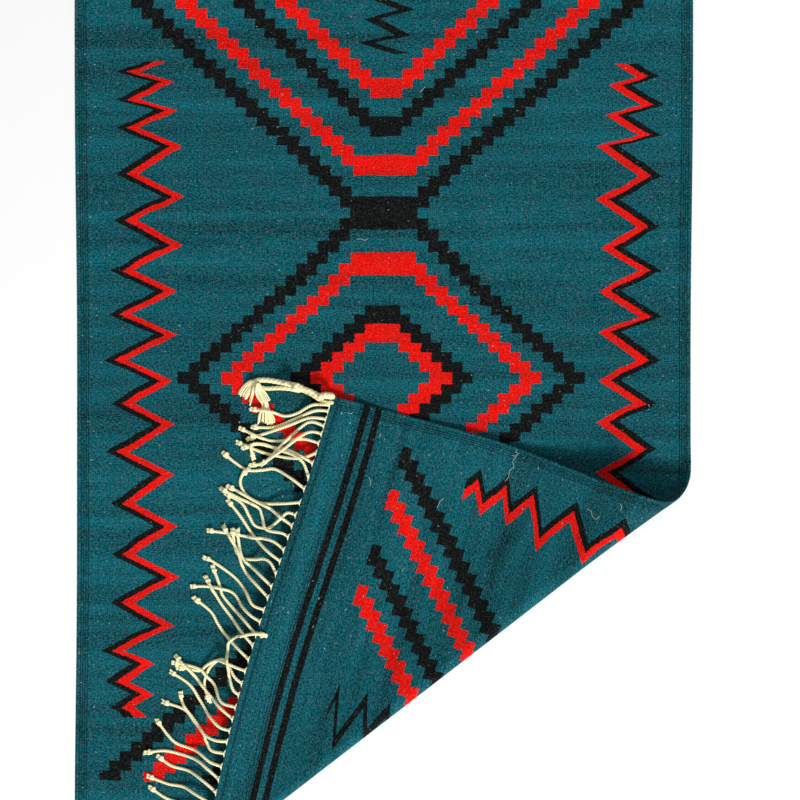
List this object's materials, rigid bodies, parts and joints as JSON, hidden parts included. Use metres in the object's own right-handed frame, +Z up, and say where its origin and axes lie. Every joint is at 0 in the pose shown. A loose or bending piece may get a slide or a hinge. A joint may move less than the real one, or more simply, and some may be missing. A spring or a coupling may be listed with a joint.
{
  "type": "navajo rug",
  "caption": "Handwoven wool rug lying flat, with a knotted fringe at both ends, corner tassels, and its near right corner folded up and over onto itself.",
  "frame": {"origin": "on the underside, at the middle of the unfolded rug's length and width", "axes": "+Y along the warps to the end that lies flat, +X across the rug to the folded side, +Z up"},
  "size_m": [1.5452, 2.2381, 0.1092],
  "materials": {
    "rug_wool": "matt ribbed wool weave",
    "fringe_cotton": "twisted undyed warp cord"
  },
  "bodies": {
    "root": {"rug": "rug_wool", "fringe_far": "fringe_cotton", "fringe_near_flat": "fringe_cotton", "fringe_near_folded": "fringe_cotton", "tassel_far_left": "fringe_cotton", "tassel_far_right": "fringe_cotton", "tassel_near_left": "fringe_cotton", "tassel_near_right": "fringe_cotton"}
  },
  "joints": []
}
